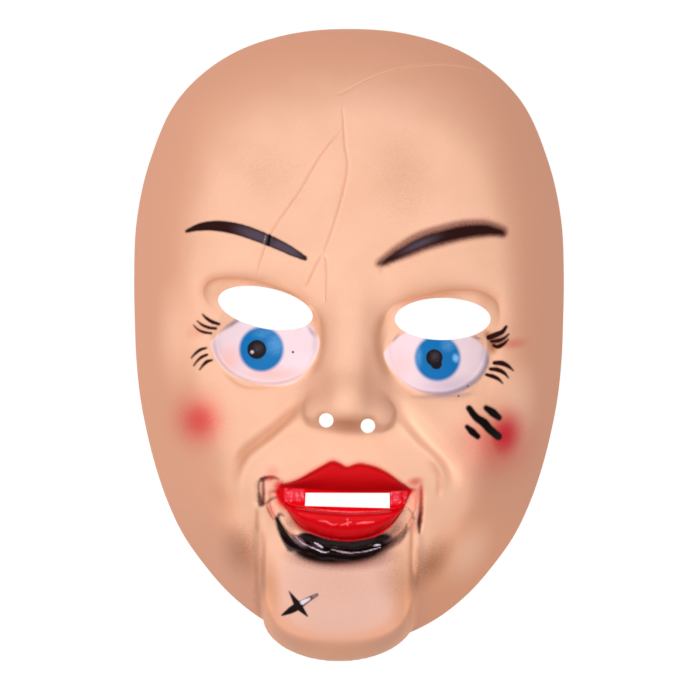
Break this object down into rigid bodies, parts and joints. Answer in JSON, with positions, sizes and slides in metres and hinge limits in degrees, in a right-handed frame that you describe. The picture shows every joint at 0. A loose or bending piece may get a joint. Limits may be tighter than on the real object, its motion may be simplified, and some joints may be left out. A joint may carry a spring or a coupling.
{
  "type": "doll face mask",
  "caption": "Rigid full-face mask moulded as a painted doll's face with a jaw block, open eye holes and a mouth slot; worn over the face or hung as decoration.",
  "frame": {"origin": "centre of the mask's plan box, in the plane of the rim it lies on", "axes": "+X to the viewer's right, +Y up the face towards the forehead, +Z out of the face"},
  "size_m": [0.1718, 0.2528, 0.0884],
  "materials": {
    "shell": "matte skin-coloured PVC with gloss-painted eyes, lips and brows"
  },
  "bodies": {
    "root": {"mask_shell": "shell"}
  },
  "joints": []
}
